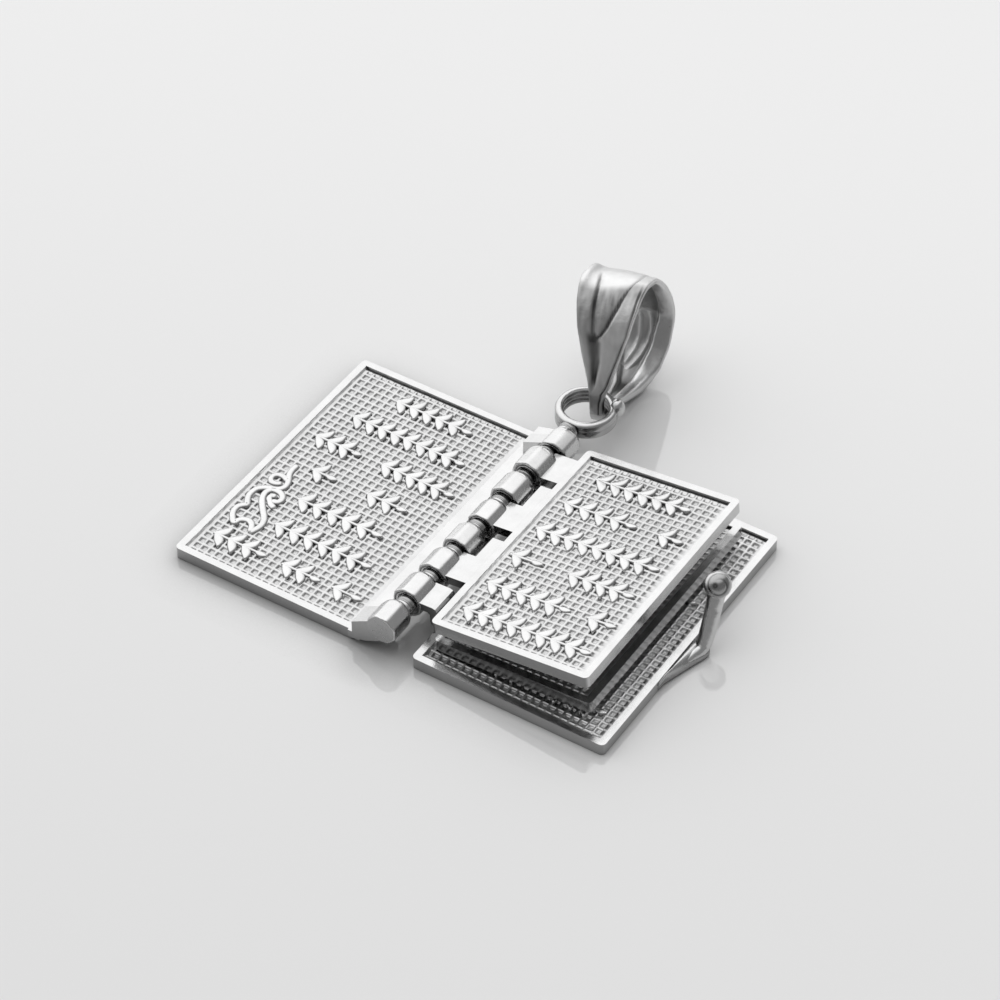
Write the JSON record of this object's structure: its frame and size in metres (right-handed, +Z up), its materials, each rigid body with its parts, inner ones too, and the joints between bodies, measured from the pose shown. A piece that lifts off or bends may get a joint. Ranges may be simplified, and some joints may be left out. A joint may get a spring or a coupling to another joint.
{
  "type": "hinged book pendant",
  "caption": "Small cast silver pendant shaped like an open book: two framed covers and loose leaves hinged on one pin, a wire hook latch, and a fluted bail on a ring.",
  "frame": {"origin": "centre of the back cover's flat underside, on the table the pendant lies on", "axes": "+Y along the spine towards the ring and bail, +Z up, the front cover lies open towards -X"},
  "size_m": [0.0293, 0.0297, 0.0089],
  "materials": {
    "silver": "bright cast silver, polished frames and knuckles, satin textured fields",
    "silver_wire": "polished silver wire and bail, darker in the grooves"
  },
  "bodies": {
    "back_cover": {"back_cover": "silver", "pin_with_ring": "silver_wire", "bail": "silver_wire"},
    "front_cover": {"front_cover": "silver"},
    "leaf_lower": {"leaf_lower": "silver"},
    "leaf_upper": {"leaf_upper": "silver"}
  },
  "joints": [
    {"name": "front_cover_hinge", "type": "hinge", "parent": "back_cover", "child": "front_cover", "pos_m": [-0.00786, 0, 0.00205], "axis": [0, 1, 0], "range_deg": [0, 175]},
    {"name": "leaf_lower_hinge", "type": "hinge", "parent": "back_cover", "child": "leaf_lower", "pos_m": [-0.00786, 0, 0.00205], "axis": [0, -1, 0], "range_deg": [0, 100]},
    {"name": "leaf_upper_hinge", "type": "hinge", "parent": "leaf_lower", "child": "leaf_upper", "pos_m": [-0.00786, 0, 0.00205], "axis": [0, -1, 0], "range_deg": [0, 160]}
  ]
}
